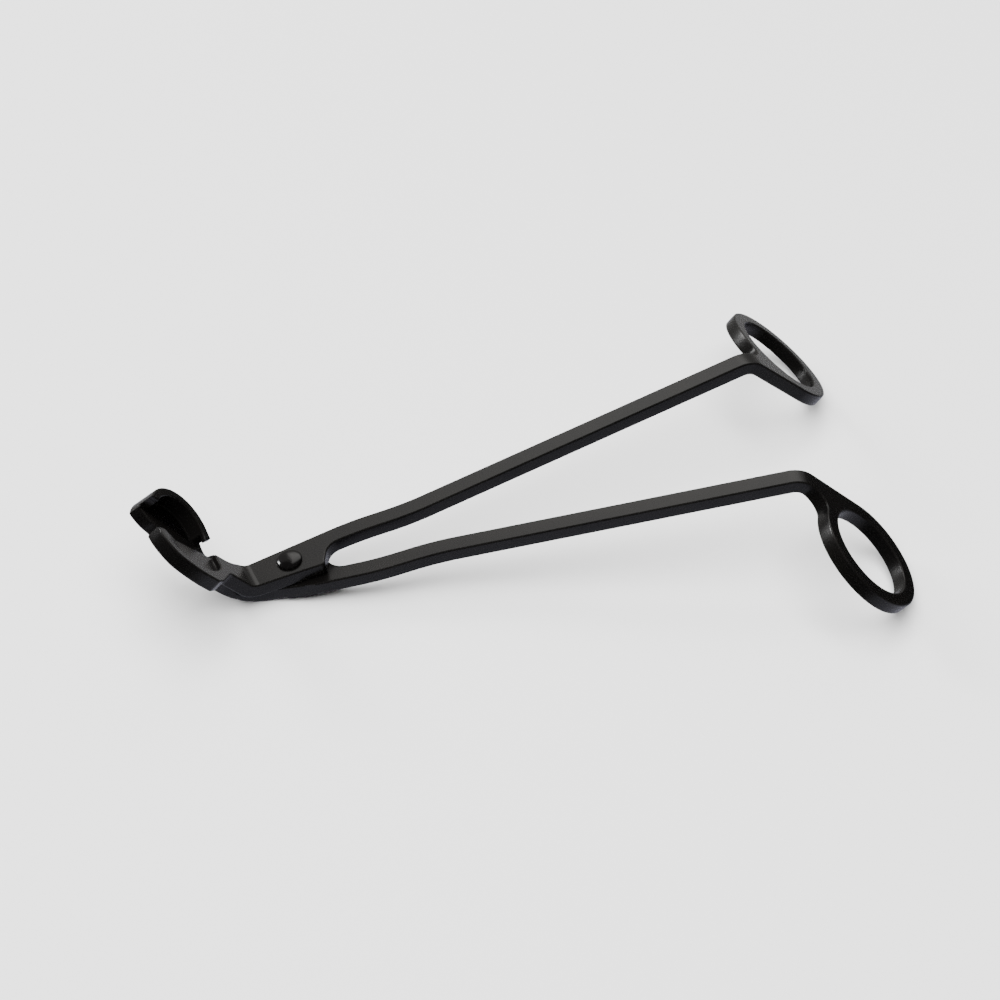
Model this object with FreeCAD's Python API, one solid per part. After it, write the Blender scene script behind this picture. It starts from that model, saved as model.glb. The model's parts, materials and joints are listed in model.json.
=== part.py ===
import FreeCAD, Part
import math
import os

from FreeCAD import Vector

os.makedirs("parts", exist_ok=True)

# Wick trimmer: two crossed steel levers turning on one rivet.
# Each lever is a flat bar, bent up at the cutting head and down at the finger ring.
# Levers are drawn closed, pivot at the origin, the faces that rub together at z = 0,
# rings towards +X. "Out" is the side of a lever's own arm and ring, "in" the other.
# The lower lever is drawn the same way round and mirrored at the end.
# All sizes are in mm and degrees.

# bar stock and running fits
bar_t = 3.6            # thickness of each lever
face_gap = 0.05        # running gap between the two levers and under the rivet head
run_gap = 0.04         # radial running gap of the upper lever on the rivet
seat_gap = 0.02        # radial gap of the rivet in the lower lever before it is set
root_relief = 0.75     # the lower head falls back this far from the upper at the bend,
tip_relief = 0.2       # and this far at the tip, so the crossing necks clear each other

# angles
open_half = 7.94       # each lever is turned this far from closed in the rest pose
head_bend = 60.6       # head bent up from the pivot plate
ring_bend = 54.9       # ring bent down from the arm
rest_pitch = 10.03     # tilt that lets the neck and both rings stand on a table
rest_roll = -3.91      # and the lean to one side, because one ring hangs lower

# pivot plate and arms
head_corner = 9.9      # pivot to the corner of the upper face at the head bend
head_bend_r = 2.5      # inner radius of that bend
lower_bend_r = 2.2     # inner radius of the lower lever there, tighter for clearance
neck_under_r = 13.0    # radius under the lower lever's neck
arm_len = 119.8        # pivot to the corner of the upper face at the ring bend
ring_bend_r = 3.2      # inner radius of the ring bend
ring_seam = 1.0        # the ring's own outline takes over this far past its bend
arm_w = 4.25
plate_out = 4.9        # outer edge of the plate from the pivot line
arm_out = 3.25         # outer edge of the arm after its sweep inwards
arm_lean = 0.0150      # outward lean of the straight arm, mm per mm
sweep_upper = 12.5     # where the sweep starts, upper lever
sweep_lower = 15.5     # and lower lever
sweep_len = 21.0
crotch_x = 10.2        # where plate and arm part
pivot_side = 0.8       # pivot sits this far towards the upper lever's arm

# finger rings
ring_blend_r = 4.0
hole_upper_r = 11.1
hole_lower_r = 11.35
outer_upper_r = 14.6
outer_lower_r = 14.95
reach_upper = 19.9     # bend corner to ring centre
reach_lower = 20.7
side_upper = 14.2      # ring centre from the closing line
side_lower = 15.05
ring_t_upper = 3.3     # the upper ring is ground thinner than the bar
ring_t_lower = 3.6

# head
head_reach = 22.5      # bend corner to the centre of the round head
head_r = 10.0
rim_w = 2.15           # wall of the tray
blade_floor = 2.2      # height of the blade's sunk floor over the lever face
lap_gap = 0.15         # tray rim end over the blade floor
pocket_gap = 1.0       # blade pocket round the tray rim

# rivet
rivet_head_r = 3.05
rivet_head_h = 1.0
rivet_crown = 0.2      # rise of its domed top
rivet_round = 0.4      # rounding of its rim
rivet_r = 2.0
tail_r = 3.0           # set tail, filling a cone in the lower lever

wide = 60.0            # any length well clear of the part


def rad(angle):
    return math.radians(angle)


def wire(steps):
    """Closed outline: each step is a line, a 3-point arc or a curve from the last point."""
    last = Vector(*steps[0], 0)
    edges = []
    for step in steps[1:]:
        if step[0] == "arc":
            mid, end = Vector(*step[1], 0), Vector(*step[2], 0)
            edges.append(Part.Arc(last, mid, end).toShape())
        elif step[0] == "curve":
            points = [last] + [Vector(*point, 0) for point in step[1]]
            end = points[-1]
            curve = Part.BSplineCurve()
            curve.interpolate(points)
            edges.append(curve.toShape())
        else:
            end = Vector(*step, 0)
            edges.append(Part.makeLine(last, end))
        last = end
    start = Vector(*steps[0], 0)
    if last.distanceToPoint(start) > 1e-6:
        edges.append(Part.makeLine(last, start))
    return Part.Face(Part.Wire(edges))


def prism(steps, low, high):
    face = wire(steps)
    face.translate(Vector(0, 0, low))
    return face.extrude(Vector(0, 0, high - low))


def polar(radius, angle, centre=(0.0, 0.0)):
    return (centre[0] + radius * math.cos(rad(angle)), centre[1] + radius * math.sin(rad(angle)))


def in_frame(shape, corner_x, corner_z, angle):
    """Stand a shape drawn flat (x outwards, z up) on the bar beyond a bend."""
    turned = shape.copy()
    turned.rotate(Vector(0, 0, 0), Vector(0, 1, 0), angle)
    turned.translate(Vector(corner_x, 0, corner_z))
    return turned


def head_frame(shape):
    """x runs from the head bend to the tip, z = 0 is the face the two heads share."""
    flipped = in_frame(shape.mirror(Vector(0, 0, 0), Vector(1, 0, 0)), -head_corner, top_z, head_bend)
    flipped.translate(Vector(-math.sin(rad(head_bend)), 0, -math.cos(rad(head_bend))) * top_z)
    return flipped


def ring_frame(shape, corner_z):
    return in_frame(shape, arm_len, corner_z, ring_bend)


def bent_bar(low, top, head_top, tip_rise, inner_r, outer_r, ring_t):
    """Wide strip folded like the lever; its head is topped at head_top, rising by tip_rise."""
    up, down = rad(head_bend), rad(ring_bend)
    normal = Vector(math.sin(up), 0, math.cos(up))
    along = Vector(-math.cos(up), 0, math.sin(up))
    origin = Vector(-head_corner, 0, top_z) - normal * top_z
    fall = Vector(math.cos(down), 0, -math.sin(down))
    ring_normal = Vector(math.sin(down), 0, math.cos(down))
    ring_corner = Vector(arm_len, 0, top)

    def crease(level, flat):
        point = origin + normal * level
        step = (flat - point.z) / along.z
        return point + along * step

    upper_crease = crease(head_top, top)
    lower_crease = crease(low, low)
    ring_low = ring_corner - ring_normal * ring_t
    lower_knee = ring_low + fall * ((low - ring_low.z) / fall.z)
    points = [
        upper_crease + (along * (head_reach + head_r) + normal * tip_rise) * 2,
        upper_crease,
        ring_corner,
        ring_corner + fall * wide,
        ring_low + fall * wide,
        lower_knee,
        lower_crease,
        origin + normal * low + along * (head_reach + head_r) * 2,
    ]
    strip = Part.Face(Part.makePolygon(points + points[:1]))
    strip.translate(Vector(0, -wide, 0))
    strip = strip.extrude(Vector(0, 2 * wide, 0))
    radii = (
        (upper_crease, inner_r),
        (ring_corner, ring_bend_r + bar_t),
        (lower_knee, ring_bend_r),
        (lower_crease, outer_r),
    )
    for point, radius in radii:
        on_crease = [
            edge for edge in strip.Edges
            if edge.Length > wide and abs(edge.CenterOfMass.x - point.x) < 0.01
            and abs(edge.CenterOfMass.z - point.z) < 0.01
        ]
        strip = strip.makeFillet(radius, on_crease)
    return strip


def arm_end(sweep_x):
    """Outer edge of the arm where it meets the ring bend."""
    return arm_out + arm_lean * (arm_len - sweep_x - sweep_len)


def plan(neck_in, neck_out, plate, sweep_x, sweep_bend):
    """Outline of plate and arm seen from above, between the two bends."""
    mid_x = sweep_x + sweep_len / 2
    end_x = sweep_x + sweep_len
    drop = plate_out - arm_out
    bend_x = arm_len - ring_seam - 3.0
    tip_x = arm_len + 6.0
    tip_out = arm_end(sweep_x)
    quarter = drop * 0.146
    outer = [
        ("curve", plate),
        (sweep_x, plate_out),
        ("arc", (sweep_x + sweep_len / 4, plate_out - quarter), (mid_x, plate_out - drop / 2)),
        ("arc", (end_x - sweep_len / 4, arm_out + quarter), (end_x, arm_out)),
        (bend_x, tip_out),
        (tip_x, tip_out),
        (tip_x, tip_out - arm_w),
        (bend_x, tip_out - arm_w),
        (end_x, arm_out - arm_w),
        ("arc", (end_x - sweep_len / 4, arm_out + quarter - arm_w), (mid_x, plate_out - drop / 2 - arm_w)),
        ("arc", (sweep_x + sweep_len / 4, plate_out - quarter - arm_w), (sweep_x, plate_out - arm_w)),
    ]
    crotch = [
        (crotch_x + 2.2, plate_out - arm_w),
        ("arc", (crotch_x - 0.5, plate_out - arm_w - 0.75), (crotch_x - 1.9, -1.8)),
        (crotch_x - 2.8, -3.3),
        ("arc", (crotch_x - 3.2, -4.15), (crotch_x - 4.1, -4.4)),
        ("curve", [(-head_corner / 2, neck_in - 0.45), (-head_corner + 0.6, neck_in)]),
        (sweep_bend, neck_in),
    ]
    return prism([(sweep_bend, neck_out)] + [(-head_corner + 0.6, neck_out)] + outer + crotch, -wide, wide)


def ring_outline(near, reach, side, outer_r, hole_r):
    """Arm end, its outer edge at near, and finger ring, on the face beyond the ring bend."""
    blend_y = near + ring_blend_r
    blend_x = reach - math.sqrt((outer_r + ring_blend_r) ** 2 - (side - blend_y) ** 2)
    blend = (blend_x, blend_y)
    lean = math.degrees(math.atan2(side - blend_y, reach - blend_x))
    outline = [
        (-6.0, near),
        (blend_x, near),
        ("arc", polar(ring_blend_r, lean / 2 - 45, blend), polar(ring_blend_r, lean, blend)),
        ("arc", polar(outer_r, 110, (reach, side)), (reach + outer_r, side)),
        ("arc", polar(outer_r, -45, (reach, side)), (reach, side - outer_r)),
        (2 * ring_seam, near - arm_w),
        (-6.0, near - arm_w),
    ]
    ring = prism(outline, -3 * bar_t, 3 * bar_t)
    return ring.cut(Part.makeCylinder(hole_r, 6 * bar_t, Vector(reach, side, -3 * bar_t)))


def beyond_bend(start):
    """Everything past a bend, so that flat, head and ring are each outlined once."""
    return Part.makeBox(wide, 2 * wide, 12 * bar_t, Vector(start, -wide, -6 * bar_t))


def disc_point(x, y):
    """Point given from the centre of the round head, as a share of its radius."""
    return (head_reach + x * head_r, y * head_r)


top_z = face_gap + bar_t
head_start = 0.5       # the head's own outline takes over this far past its bend
centre = (head_reach, 0.0)
floor_z = face_gap + blade_floor


def finish_lever(bar, plan_cut, head_cut, ring, corner_z):
    flat_zone = plan_cut.cut(ring_frame(beyond_bend(ring_seam), corner_z))
    flat_zone = flat_zone.cut(head_frame(beyond_bend(head_start)))
    ring_cut = ring_frame(ring.common(beyond_bend(ring_seam)), corner_z)
    pieces = [bar.common(zone) for zone in (flat_zone, head_cut, ring_cut)]
    return pieces[0].fuse(pieces[1:]).removeSplitter()


# --- upper lever: sunk crescent blade on the "in" side -------------------------------
neck_in_up, neck_out_up = -2.6, plate_out
blade_outline = [
    (head_start, neck_in_up),
    (7.2, neck_in_up),
    ("arc", (8.6, -2.95), (9.7, -4.0)),
    disc_point(-0.90, -0.81),
    disc_point(-0.66, -0.975),
    disc_point(-0.32, -0.988),
    ("curve", [disc_point(0.0, -0.965), disc_point(0.32, -0.90), polar(head_r, -50, centre),
               polar(head_r, -38, centre), polar(head_r, -24, centre), polar(head_r, -10, centre)]),
    disc_point(1.0, -0.01),
    ("arc", disc_point(0.66, 0.09), disc_point(0.18, 0.15)),
    disc_point(-1.0, 0.27),
    (8.2, 2.75),
    ("curve", [(6.2, 3.0), (4.2, 3.6), (2.6, 4.35), (1.4, 4.8), (0.9, neck_out_up)]),
    (head_start, neck_out_up),
]
blade_cut = head_frame(prism(blade_outline, -2.0, 8.0))
upper = finish_lever(
    bent_bar(face_gap, top_z, top_z, 0.0, head_bend_r, head_bend_r + bar_t, ring_t_upper),
    plan(neck_in_up, neck_out_up, [(0.0, plate_out), (8.0, plate_out)], sweep_upper, -24.0),
    blade_cut,
    ring_outline(arm_end(sweep_upper), reach_upper, side_upper, outer_upper_r, hole_upper_r),
    top_z,
)
pocket_r = head_r + pocket_gap
pocket = prism(
    [
        (head_reach - pocket_r - 0.4, 6.0),
        polar(pocket_r, 177, centre),
        ("arc", polar(pocket_r, -171, centre), polar(pocket_r - 0.6, -160, centre)),
        ("curve", [disc_point(-0.6, -0.64), disc_point(-0.05, -0.75), disc_point(0.45, -0.62),
                   disc_point(0.74, -0.32), disc_point(0.80, 0.6)]),
    ],
    floor_z, top_z + 2.0,
)
ramp_x = head_reach + 0.2 * head_r
ramp = Part.Face(Part.makePolygon([
    Vector(ramp_x, 0, floor_z), Vector(head_reach + 0.75 * head_r, 0, top_z),
    Vector(head_reach + 2 * head_r, 0, top_z), Vector(head_reach + 2 * head_r, 0, -1),
    Vector(ramp_x, 0, -1), Vector(ramp_x, 0, floor_z),
]))
ramp.translate(Vector(0, -wide, 0))
ramp = ramp.extrude(Vector(0, 2 * wide, 0))
upper = upper.cut(head_frame(pocket.cut(ramp)))

# --- lower lever: half tray with a tall rim on the "in" side ---------------------------
neck_in_low, neck_out_low = -4.0, 3.5
tray_outline = [
    (head_start, neck_in_low),
    (6.6, neck_in_low),
    ("curve", [(8.2, -2.6), (9.5, -1.9), (10.6, -2.9), (11.2, -4.4)]),
    disc_point(-0.88, -0.80),
    disc_point(-0.66, -0.98),
    disc_point(-0.30, -1.0),
    disc_point(0.0, -1.0),
    ("arc", polar(head_r, -50, centre), polar(head_r, -12.5, centre)),
    ("arc", disc_point(0.85, -0.12), disc_point(0.43, 0.015)),
    disc_point(-0.25, 0.18),
    disc_point(-1.05, 0.335),
    ("arc", (6.0, 3.9), (2.2, neck_out_low)),
    (head_start, neck_out_low),
]
lower = finish_lever(
    bent_bar(-bar_t, 0.0, -root_relief, root_relief - tip_relief, lower_bend_r, neck_under_r, ring_t_lower),
    plan(neck_in_low, neck_out_low, [(-5.5, 3.65), (1.6, 4.5), (9.0, plate_out)], sweep_lower, -24.0),
    head_frame(prism(tray_outline, -8.0, 2.0)),
    ring_outline(arm_end(sweep_lower), reach_lower, side_lower, outer_lower_r, hole_lower_r),
    0.0,
)
wall_foot = -root_relief - 1.0
ring_wall = Part.makeCylinder(head_r, top_z - wall_foot, Vector(*centre, wall_foot))
ring_wall = ring_wall.cut(Part.makeCylinder(head_r - rim_w, 20.0, Vector(*centre, wall_foot)))
keep_low = prism(
    [(0.0, -2.8), (head_reach, -2.8), (head_reach, -3.05), (60.0, -3.05), (60.0, -40.0), (0.0, -40.0)],
    -5.0, floor_z + lap_gap,
)
keep_top = prism(
    [(head_reach, -3.15), (60.0, -3.05), (60.0, -40.0), (0.0, -40.0), (0.0, -2.9),
     disc_point(-0.97, -0.21), disc_point(-0.70, 0.05), (head_reach, 0.05)],
    floor_z + lap_gap, top_z,
)
rim = ring_wall.common(keep_low.fuse(keep_top)).removeSplitter()
lower = lower.fuse(head_frame(rim)).removeSplitter()
lower = lower.mirror(Vector(0, 0, 0), Vector(0, 1, 0))

# --- turn both to the rest pose and fit the rivet -------------------------------------
upper.rotate(Vector(0, 0, 0), Vector(0, 0, 1), open_half)
lower.rotate(Vector(0, 0, 0), Vector(0, 0, 1), -open_half)
axis = Vector(0, pivot_side, -wide)
upper = upper.cut(Part.makeCylinder(rivet_r + run_gap, 2 * wide, axis))
lower = lower.cut(Part.makeCylinder(rivet_r + seat_gap, 2 * wide, axis))
tail_h = tail_r - rivet_r
lower = lower.cut(Part.makeCone(
    tail_r + seat_gap, rivet_r + seat_gap, tail_h, Vector(0, pivot_side, -bar_t)
))
seat_z = top_z + face_gap
head = Part.makeCylinder(rivet_head_r, rivet_head_h, Vector(0, 0, seat_z))
dome_r = (rivet_head_r ** 2 + rivet_crown ** 2) / (2 * rivet_crown)
head = head.common(Part.makeSphere(dome_r, Vector(0, 0, seat_z + rivet_head_h - dome_r)))
rim_edges = [edge for edge in head.Edges if edge.Closed and edge.CenterOfMass.z > seat_z + 0.1]
head = head.makeFillet(rivet_round, rim_edges)
shank = Part.makeCylinder(rivet_r, seat_z + bar_t, Vector(0, 0, -bar_t))
tail = Part.makeCone(tail_r, rivet_r, tail_h, Vector(0, 0, -bar_t))
rivet = head.fuse([shank, tail]).removeSplitter()
rivet.translate(Vector(0, pivot_side, 0))

# --- stand the trimmer on its neck and rings -------------------------------------------
nodes = {"lever_upper": upper, "lever_lower": lower, "pivot_rivet": rivet}
for shape in nodes.values():
    shape.rotate(Vector(0, 0, 0), Vector(0, 1, 0), -rest_pitch)
    shape.rotate(Vector(0, 0, 0), Vector(1, 0, 0), rest_roll)
box = Part.makeCompound(list(nodes.values())).optimalBoundingBox(False)
shift = Vector(-box.Center.x, -box.Center.y, -box.ZMin)
for name, shape in nodes.items():
    shape.translate(shift)
    shape.exportStep("parts/" + name + ".step")
    print(name, shape.isValid(), len(shape.Solids), round(shape.Volume, 2))
print("box", [round(value, 2) for value in (box.XLength, box.YLength, box.ZLength)])
print("shift", [round(value, 4) for value in shift])
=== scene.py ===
import json
from math import radians

import bmesh
import bpy
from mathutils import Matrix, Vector


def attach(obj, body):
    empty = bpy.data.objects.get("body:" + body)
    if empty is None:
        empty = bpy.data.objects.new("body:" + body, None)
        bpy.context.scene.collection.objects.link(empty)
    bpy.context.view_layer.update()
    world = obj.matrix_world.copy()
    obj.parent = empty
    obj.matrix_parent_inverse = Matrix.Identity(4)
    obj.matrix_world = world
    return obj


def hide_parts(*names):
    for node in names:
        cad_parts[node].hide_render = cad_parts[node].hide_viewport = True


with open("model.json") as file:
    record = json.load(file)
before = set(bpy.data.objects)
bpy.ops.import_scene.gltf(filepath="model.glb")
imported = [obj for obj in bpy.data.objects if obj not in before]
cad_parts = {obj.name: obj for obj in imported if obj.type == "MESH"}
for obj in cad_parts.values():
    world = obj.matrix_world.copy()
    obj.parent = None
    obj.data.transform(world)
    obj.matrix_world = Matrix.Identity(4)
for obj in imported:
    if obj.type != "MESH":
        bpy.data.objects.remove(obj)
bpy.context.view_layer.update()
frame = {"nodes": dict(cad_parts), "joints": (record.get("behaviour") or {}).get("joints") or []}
nodes = frame["nodes"]

# --- Upper lever ----------------------------------------------------------------------
# One steel bar: plate, arm, finger ring and the sunk crescent blade. Its sharp edges are
# broken, and it is coated satin black, with grinding marks left on the finger ring.
EDGE_BREAK = 0.0004
SEAM = 2e-6
FLAT_JOIN = radians(0.3)
SHARP_EDGE = radians(27)
CREASE = radians(50)
RING_FACE = Vector((0.698, 0.161, 0.698))
RING_STARTS, RING_FULL = 0.060, 0.066
LEVER_BLACK = (0.0028, 0.0028, 0.0028)
# Lighter colour for the broken convex edges: partly rubbed wear, partly painted highlight.
LEVER_RUBBED_AND_HIGHLIT = (0.006, 0.0057, 0.0053)


def has_room(edge, edge_break):
    """False where a wall runs out to nothing or to a thin wedge: that edge is left crisp."""
    wedge, across = 0.94, 0.8
    for vert in edge.verts:
        along = (edge.other_vert(vert).co - vert.co).normalized()
        for side in vert.link_edges:
            if side == edge:
                continue
            run = side.other_vert(vert).co - vert.co
            turn = run.normalized().dot(along)
            if turn > wedge or (run.length < 1.5 * edge_break and abs(turn) < across):
                return False
    return True


def ground_lever(node, edge_break):
    """A welded copy of the lever's solid with every sharp edge broken, and those edges marked for a
    lighter colour that is partly rubbed wear and partly painted highlight.
    """
    name = node.name + "_coated"
    lever = bpy.data.objects.new(name, bpy.data.meshes.new(name))
    bpy.context.scene.collection.objects.link(lever)
    bm = bmesh.new()
    bm.from_mesh(node.data)
    bmesh.ops.remove_doubles(bm, verts=bm.verts, dist=SEAM)
    bmesh.ops.dissolve_limit(bm, angle_limit=FLAT_JOIN, verts=bm.verts, edges=bm.edges)
    wear_and_highlight = bm.faces.layers.float.new("worn_and_highlit_edge")
    sharp = [edge for edge in bm.edges if edge.is_manifold and edge.calc_face_angle() > SHARP_EDGE]
    sharp = [edge for edge in sharp if has_room(edge, edge_break)]
    inner = [edge.verts[0].co.lerp(edge.verts[1].co, 0.5) for edge in sharp if not edge.is_convex]
    broken = bmesh.ops.bevel(
        bm, geom=sharp, offset=edge_break, offset_type="OFFSET", segments=3, profile=0.5,
        affect="EDGES", clamp_overlap=False, material=-1,
    )
    # Broken convex edges take the lighter colour, partly wear and partly painted highlight; bevels
    # by concave edges stay dark.
    for face in broken["faces"]:
        middle = face.calc_center_median()
        face[wear_and_highlight] = 0.0 if any((middle - point).length < 2 * edge_break for point in inner) else 1.0
    for face in bm.faces:
        face.smooth = True
    for edge in bm.edges:
        edge.smooth = not edge.is_manifold or edge.calc_face_angle() < CREASE
    bm.to_mesh(lever.data)
    bm.free()
    normals = lever.modifiers.new("even_normals", "WEIGHTED_NORMAL")
    normals.keep_sharp = True
    normals.weight = 100
    return lever


def black_coating(name, seed, face_color, edge_wear_and_highlight_color, gloss_low, gloss_high):
    """Thin satin black coating over ground steel: fine grain, faint clouds, broken edges painted
    lighter as partly rubbed wear and partly painted highlight, and on the rings the marks of the
    belt that ground their walls."""
    material = bpy.data.materials.new(name)
    material.use_nodes = True
    tree = material.node_tree
    link = tree.links.new
    shader = tree.nodes["Principled BSDF"]
    place = tree.nodes.new("ShaderNodeTexCoord")
    mapping = tree.nodes.new("ShaderNodeMapping")
    mapping.inputs["Location"].default_value = (seed, seed * 0.37, 0.0)
    link(place.outputs["Object"], mapping.inputs["Vector"])

    clouds = tree.nodes.new("ShaderNodeTexNoise")
    clouds.inputs["Scale"].default_value = 95.0
    clouds.inputs["Detail"].default_value = 4.0
    link(mapping.outputs["Vector"], clouds.inputs["Vector"])
    grain = tree.nodes.new("ShaderNodeTexNoise")
    grain.inputs["Scale"].default_value = 2600.0
    grain.inputs["Detail"].default_value = 3.0
    link(mapping.outputs["Vector"], grain.inputs["Vector"])

    tone = tree.nodes.new("ShaderNodeMix")
    tone.data_type = "RGBA"
    cool, warm = (0.65, 0.65, 0.75), (1.5, 1.35, 1.15)
    tone.inputs["A"].default_value = (*[c * t for c, t in zip(face_color, cool)], 1)
    tone.inputs["B"].default_value = (*[c * t for c, t in zip(face_color, warm)], 1)
    link(clouds.outputs["Fac"], tone.inputs["Factor"])

    # Broken edges painted lighter and mottled by the clouds: partly rubbed wear, partly painted
    # highlight.
    edge = tree.nodes.new("ShaderNodeAttribute")
    edge.attribute_name = "worn_and_highlit_edge"
    rub_and_highlight = tree.nodes.new("ShaderNodeMath")
    rub_and_highlight.operation = "MULTIPLY"
    link(edge.outputs["Fac"], rub_and_highlight.inputs[0])
    link(clouds.outputs["Fac"], rub_and_highlight.inputs[1])
    rubbed_and_highlit = tree.nodes.new("ShaderNodeMix")
    rubbed_and_highlit.data_type = "RGBA"
    rubbed_and_highlit.inputs["B"].default_value = (*edge_wear_and_highlight_color, 1)
    link(rub_and_highlight.outputs["Value"], rubbed_and_highlit.inputs["Factor"])
    link(tone.outputs["Result"], rubbed_and_highlit.inputs["A"])
    link(rubbed_and_highlit.outputs["Result"], shader.inputs["Base Color"])

    gloss = tree.nodes.new("ShaderNodeMapRange")
    gloss.inputs["To Min"].default_value = gloss_low
    gloss.inputs["To Max"].default_value = gloss_high
    link(grain.outputs["Fac"], gloss.inputs["Value"])
    link(gloss.outputs["Result"], shader.inputs["Roughness"])

    turned = tree.nodes.new("ShaderNodeMapping")
    turned.vector_type = "TEXTURE"
    tilt = Vector((0, 0, 1)).rotation_difference(RING_FACE)
    turned.inputs["Rotation"].default_value = tilt.to_euler()
    turned.inputs["Scale"].default_value = (1.0, 1.0, 25.0)
    link(mapping.outputs["Vector"], turned.inputs["Vector"])
    belt = tree.nodes.new("ShaderNodeTexNoise")
    belt.inputs["Scale"].default_value = 2400.0
    belt.inputs["Detail"].default_value = 2.0
    link(turned.outputs["Vector"], belt.inputs["Vector"])
    split = tree.nodes.new("ShaderNodeSeparateXYZ")
    link(place.outputs["Object"], split.inputs["Vector"])
    at_ring = tree.nodes.new("ShaderNodeMapRange")
    at_ring.inputs["From Min"].default_value = RING_STARTS
    at_ring.inputs["From Max"].default_value = RING_FULL
    at_ring.inputs["To Min"].default_value = 0.0
    at_ring.inputs["To Max"].default_value = 0.8
    link(split.outputs["X"], at_ring.inputs["Value"])
    relief = tree.nodes.new("ShaderNodeMix")
    link(at_ring.outputs["Result"], relief.inputs["Factor"])
    link(grain.outputs["Fac"], relief.inputs["A"])
    link(belt.outputs["Fac"], relief.inputs["B"])
    bump = tree.nodes.new("ShaderNodeBump")
    bump.inputs["Strength"].default_value = 0.4
    bump.inputs["Distance"].default_value = 0.000022
    link(relief.outputs["Result"], bump.inputs["Height"])
    link(bump.outputs["Normal"], shader.inputs["Normal"])
    shader.inputs["Specular IOR Level"].default_value = 0.36
    return material


upper = ground_lever(nodes["lever_upper"], EDGE_BREAK)
upper.data.materials.append(
    black_coating("upper_coating", 0.3, LEVER_BLACK, LEVER_RUBBED_AND_HIGHLIT, 0.2, 0.32)
)
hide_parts("lever_upper")
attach(upper, "upper")

# --- Lower lever ----------------------------------------------------------------------
# The matching lever: its head is a tray whose tall rim catches the cut wick. It has the
# same satin black coating, and it carries the set tail of the rivet.
lower = ground_lever(nodes["lever_lower"], EDGE_BREAK)
lower.data.materials.append(
    black_coating("lower_coating", 1.7, LEVER_BLACK, LEVER_RUBBED_AND_HIGHLIT, 0.2, 0.32)
)
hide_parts("lever_lower")
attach(lower, "lower")

# --- Rivet ----------------------------------------------------------------------------
# A solid steel rivet with a low domed head, a little glossier than the levers.
# Its tail fills a cone in the lower lever, and the upper lever turns on its shank.
SHANK_R, TAIL_R, HEAD_R = 0.0020, 0.0030, 0.00305
TAIL_END, HEAD_SEAT, HEAD_TOP = -0.0054, 0.0019, 0.0029
CORNER = 0.0001
TURN_STEPS = 96
RIM_EDGE = radians(40)
joint = frame["joints"][0]
axis = Vector(joint["axis"]).normalized()
rivet = bpy.data.objects.new("rivet_coated", bpy.data.meshes.new("rivet_coated"))
bpy.context.scene.collection.objects.link(rivet)
bm = bmesh.new()
outline = [
    (0.0, TAIL_END), (TAIL_R - CORNER, TAIL_END), (TAIL_R, TAIL_END + CORNER),
    (SHANK_R, TAIL_END + 0.001), (SHANK_R, HEAD_SEAT),
    (HEAD_R - CORNER, HEAD_SEAT), (HEAD_R, HEAD_SEAT + CORNER), (HEAD_R, HEAD_SEAT + 0.00034),
    (HEAD_R - 0.00006, HEAD_SEAT + 0.00047), (HEAD_R - 0.0002, HEAD_SEAT + 0.0006),
    (HEAD_R - 0.00045, HEAD_SEAT + 0.00072), (HEAD_R - 0.0009, HEAD_SEAT + 0.00084),
    (HEAD_R - 0.0016, HEAD_SEAT + 0.00094), (HEAD_R - 0.0023, HEAD_SEAT + 0.00099),
    (0.0, HEAD_TOP),
]
points = [bm.verts.new((radius, 0.0, height)) for radius, height in outline]
edges = [bm.edges.new(pair) for pair in zip(points, points[1:])]
bmesh.ops.spin(
    bm, geom=points + edges, cent=(0, 0, 0), axis=(0, 0, 1), dvec=(0, 0, 0),
    angle=radians(360), steps=TURN_STEPS, use_merge=True, use_duplicate=False,
)
bmesh.ops.remove_doubles(bm, verts=bm.verts, dist=1e-6)
bmesh.ops.recalc_face_normals(bm, faces=bm.faces)
lean = Vector((0, 0, 1)).rotation_difference(axis).to_matrix()
bmesh.ops.rotate(bm, verts=bm.verts, cent=(0, 0, 0), matrix=lean)
bmesh.ops.translate(bm, verts=bm.verts, vec=Vector(joint["pos_m"]))
for face in bm.faces:
    face.smooth = True
for edge in bm.edges:
    edge.smooth = not edge.is_manifold or edge.calc_face_angle() < RIM_EDGE
bm.to_mesh(rivet.data)
bm.free()
rivet.data.materials.append(
    black_coating("rivet_coating", 2.9, (0.0025, 0.0025, 0.0026), (0.006, 0.006, 0.006), 0.08, 0.14)
)
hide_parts("pivot_rivet")
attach(rivet, "lower")

# --- Table, studio light and camera ---------------------------------------------------
# A pale matt table that doesn't show in the coating. A small lamp far to the back left,
# a wide lamp overhead for the table, and a studio whose light fades at soft edges.
TABLE_SIDE = 8.0
bpy.ops.mesh.primitive_plane_add(size=TABLE_SIDE, location=(0, 0, 0))
table = bpy.context.object
table.name = "table"
pale = bpy.data.materials.new("pale_table")
pale.use_nodes = True
surface = pale.node_tree.nodes["Principled BSDF"]
surface.inputs["Base Color"].default_value = (0.9, 0.9, 0.9, 1)
surface.inputs["Roughness"].default_value = 0.9
surface.inputs["Specular IOR Level"].default_value = 0.0
table.data.materials.append(pale)
table.visible_glossy = False


def soft_light(name, place, side, power, in_gloss=True):
    """A square lamp turned towards the middle of the table."""
    light = bpy.data.lights.new(name, "AREA")
    light.shape = "RECTANGLE"
    light.size = side
    light.size_y = side
    light.energy = power
    lamp = bpy.data.objects.new(name, light)
    lamp.location = place
    lamp.rotation_euler = (-Vector(place)).to_track_quat("-Z", "Y").to_euler()
    lamp.visible_glossy = in_gloss
    bpy.context.scene.collection.objects.link(lamp)


soft_light("side_lamp", (-1.0, 1.03, 0.8), side=0.4, power=17.0)
soft_light("top_light", (-0.2, -0.1, 1.6), side=1.8, power=95.0, in_gloss=False)

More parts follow.
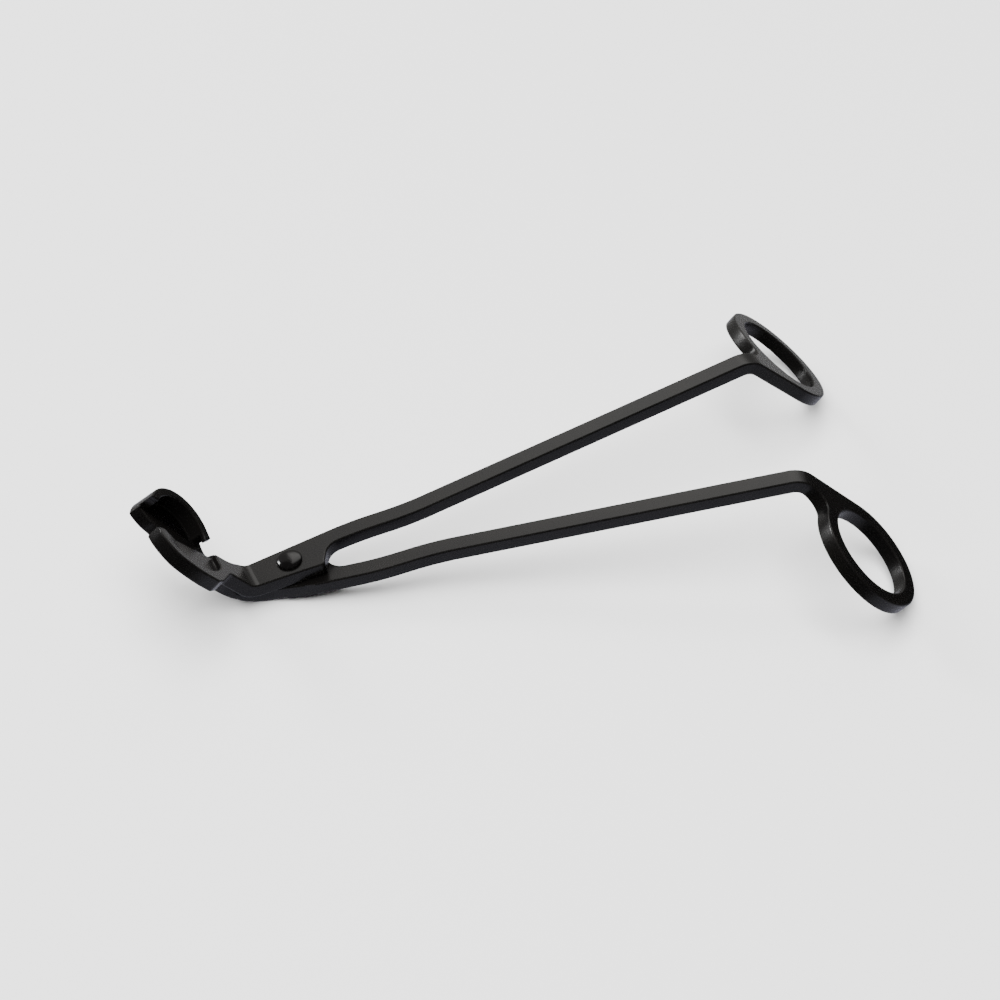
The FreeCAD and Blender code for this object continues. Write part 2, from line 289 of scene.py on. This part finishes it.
world = bpy.data.worlds.new("studio")
world.use_nodes = True
bpy.context.scene.world = world
tree = world.node_tree
direction = tree.nodes.new("ShaderNodeTexCoord")
compass = tree.nodes.new("ShaderNodeSeparateXYZ")
tree.links.new(direction.outputs["Generated"], compass.inputs["Vector"])


def fade(value, dark, light, strength=1.0):
    """A soft edge of the studio's light, from dark to full strength."""
    edge = tree.nodes.new("ShaderNodeMapRange")
    edge.interpolation_type = "SMOOTHSTEP"
    edge.inputs["From Min"].default_value = dark
    edge.inputs["From Max"].default_value = light
    edge.inputs["To Max"].default_value = strength
    tree.links.new(value, edge.inputs["Value"])
    return edge.outputs["Result"]


def combine(operation, first, second):
    """Two of the studio's lights multiplied or added together."""
    node = tree.nodes.new("ShaderNodeMath")
    node.operation = operation
    tree.links.new(first, node.inputs[0])
    tree.links.new(second, node.inputs[1])
    return node.outputs["Value"]


OVERHEAD_POWER, HORIZON_POWER, FLOOR_POWER = 2.25, 0.38, 0.58
east, north, height = (compass.outputs[name] for name in "XYZ")
overhead = combine(
    "MULTIPLY", fade(east, -0.135, -0.06), fade(height, 0.38, 0.64, OVERHEAD_POWER)
)
overhead = combine("MULTIPLY", overhead, fade(north, 0.3, 0.6))
horizon = fade(north, 0.60, 0.70, HORIZON_POWER)
floor_glow = fade(height, -0.35, -0.65, FLOOR_POWER)
total = combine("ADD", combine("ADD", overhead, horizon), floor_glow)
tree.links.new(total, tree.nodes["Background"].inputs["Strength"])
tint = tree.nodes.new("ShaderNodeMix")
tint.data_type = "RGBA"
tint.inputs["A"].default_value = (0.93, 0.93, 1.08, 1)
tint.inputs["B"].default_value = (1.0, 0.985, 0.955, 1)
tree.links.new(fade(height, -0.6, -0.4), tint.inputs["Factor"])
tree.links.new(tint.outputs["Result"], tree.nodes["Background"].inputs["Color"])

lens = bpy.data.cameras.new("camera")
lens.lens = 131.16
lens.sensor_width = 36.0
lens.clip_start = 0.01
camera = bpy.data.objects.new("camera", lens)
camera.location = (-0.16075, -0.537126, 0.646736)
camera.rotation_euler = (0.726765, -0.019824, -0.26354)
bpy.context.scene.collection.objects.link(camera)
bpy.context.scene.camera = camera
